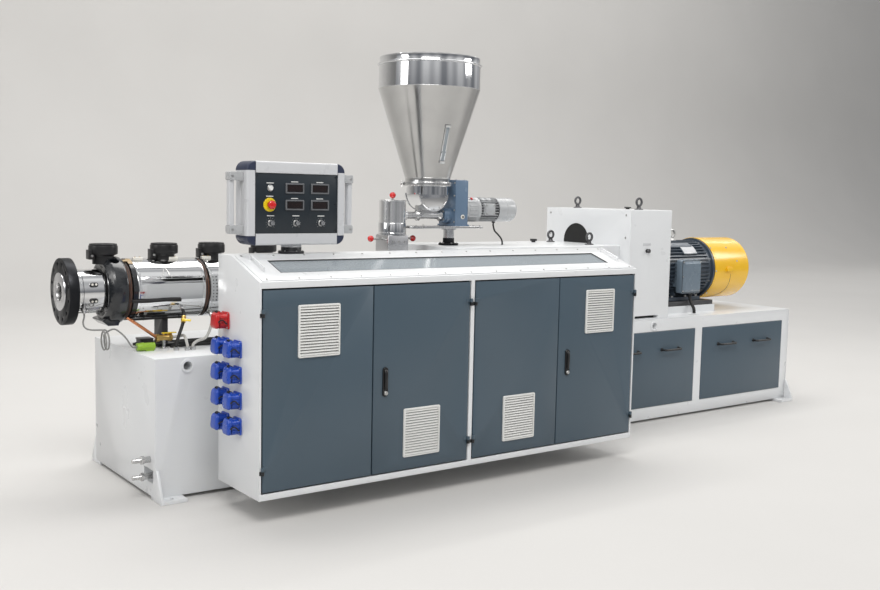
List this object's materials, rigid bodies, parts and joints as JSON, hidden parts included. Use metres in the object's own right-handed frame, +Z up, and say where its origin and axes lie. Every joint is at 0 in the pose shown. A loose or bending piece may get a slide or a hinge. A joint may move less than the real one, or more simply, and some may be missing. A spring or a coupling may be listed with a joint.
{
  "type": "plastic extruder",
  "caption": "Twin-screw plastic extruder: heated barrel with die flange, hopper and screw feeder, gearbox and motor on a welded base, with an electrical cabinet and swivelling control panel",
  "frame": {"origin": "middle of the machine's bounding box, on the floor", "axes": "+X along the machine from die end to drive motor, -Y the cabinet's door side, +Z up"},
  "size_m": [5.019, 1.497, 2.197],
  "materials": {
    "white_paint": "satin",
    "slate_paint": "satin, slightly textured",
    "black_plastic": "matte",
    "window_glass": "clear",
    "pale_plastic": "matte",
    "black_metal": "matt black",
    "red_plastic": "gloss",
    "blue_plastic": "gloss",
    "panel_aluminium": "anodised",
    "face_paint": "satin",
    "navy_plastic": "satin",
    "dark_steel": "machined, dark",
    "polished_steel": "polished",
    "lead_sheath": "braided",
    "brushed_steel": "brushed",
    "blue_paint": "gloss",
    "motor_paint": "satin",
    "yellow_paint": "gloss",
    "green_plastic": "satin",
    "black_rubber": "matte",
    "white_braid": "braided"
  },
  "bodies": {
    "machine": {"base_frame": "white_paint", "base_feet": "white_paint", "base_panels": "slate_paint", "panel_pulls": "black_plastic", "cabinet_shell": "white_paint", "window_lid": "white_paint", "window_glass": "window_glass", "door_hinges": "black_metal", "red_socket": "red_plastic", "blue_sockets": "blue_plastic", "panel_foot": "black_metal", "barrel": "dark_steel", "die_flange": "black_metal", "front_heater": "polished_steel", "ring_cover": "black_metal", "barrel_covers": "polished_steel", "lead_bundles": "lead_sheath", "barrel_fans": "black_metal", "barrel_supports": "black_metal", "feed_tower": "brushed_steel", "tower_knobs": "red_plastic", "gearbox": "white_paint", "feeder_stand": "brushed_steel", "hopper": "polished_steel", "hopper_clamp": "brushed_steel", "sight_glass": "window_glass", "feeder_trough": "brushed_steel", "feeder_gearcase": "blue_paint", "feeder_motor": "brushed_steel", "drive_cover": "white_paint", "lifting_eyes": "brushed_steel", "motor_frame": "motor_paint", "terminal_box": "motor_paint", "motor_cowl": "yellow_paint", "motor_plate": "dark_steel", "coolant_fittings": "brushed_steel", "probe_plug": "green_plastic", "probe_lead": "lead_sheath", "feeder_lead": "lead_sheath", "motor_lead": "black_rubber", "coolant_hose_1": "white_braid", "coolant_hose_2": "white_braid", "coolant_hose_3": "black_rubber"},
    "door_1": {"door_1": "slate_paint", "grille_1": "pale_plastic"},
    "door_2": {"door_2": "slate_paint", "grille_2": "pale_plastic", "lock_2": "black_plastic"},
    "door_3": {"door_3": "slate_paint", "grille_3": "pale_plastic"},
    "door_4": {"door_4": "slate_paint", "grille_4": "pale_plastic", "lock_4": "black_plastic"},
    "control_panel": {"panel_box": "panel_aluminium", "panel_face": "face_paint", "panel_caps": "navy_plastic", "panel_meters": "black_plastic", "panel_switches": "red_plastic", "panel_grips": "panel_aluminium"}
  },
  "joints": [
    {"name": "door_1_hinge", "type": "hinge", "parent": "machine", "child": "door_1", "pos_m": [-1.966, -0.736, 0.579], "axis": [0, 0, -1], "range_deg": [0, 120]},
    {"name": "door_2_hinge", "type": "hinge", "parent": "machine", "child": "door_2", "pos_m": [-0.863, -0.736, 0.579], "axis": [0, 0, 1], "range_deg": [0, 90]},
    {"name": "door_3_hinge", "type": "hinge", "parent": "machine", "child": "door_3", "pos_m": [-0.834, -0.736, 0.579], "axis": [0, 0, -1], "range_deg": [0, 90]},
    {"name": "door_4_hinge", "type": "hinge", "parent": "machine", "child": "door_4", "pos_m": [0.269, -0.736, 0.579], "axis": [0, 0, 1], "range_deg": [0, 120]},
    {"name": "panel_swivel", "type": "hinge", "parent": "machine", "child": "control_panel", "pos_m": [-1.6485, -0.3825, 1.183], "axis": [0, 0, 1], "range_deg": [-90, 90]}
  ]
}
